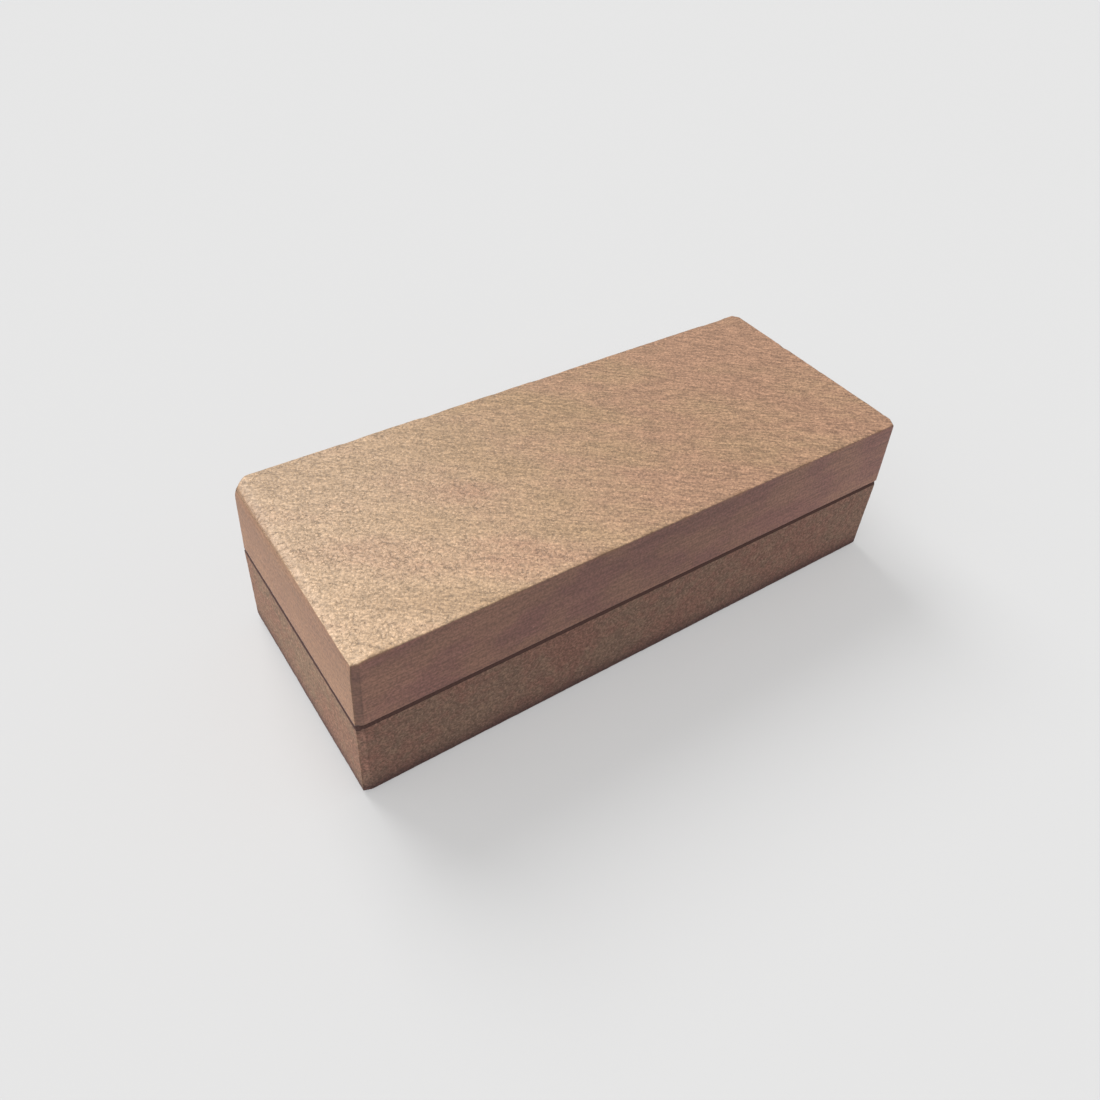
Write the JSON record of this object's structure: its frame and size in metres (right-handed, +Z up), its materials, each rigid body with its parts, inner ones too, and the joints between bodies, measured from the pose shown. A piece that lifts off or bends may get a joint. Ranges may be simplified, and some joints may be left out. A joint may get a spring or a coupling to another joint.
{
  "type": "sharpening whetstone",
  "caption": "Pocket combination whetstone: a finer slab bonded on a coarser one, with a narrow recessed glue line between them, faceted corners and a rounded foot.",
  "frame": {"origin": "centre of the underside of the lower stone, on the surface that the whetstone stands on", "axes": "+X along the long edges, +Y across the width, +Z up out of the honing face of the finer stone"},
  "size_m": [0.1, 0.041, 0.0278],
  "materials": {
    "fine_stone": "fine-grained abrasive stone, lapped flat, tan honing face with a satin sheen and mauve-brown sides with fine lapping lines",
    "bond": "dark brown set adhesive, matt",
    "coarse_stone": "coarser sandy abrasive stone, matt olive-brown with open grain"
  },
  "bodies": {
    "root": {"upper_stone": "fine_stone", "bond_layer": "bond", "lower_stone": "coarse_stone"}
  },
  "joints": []
}
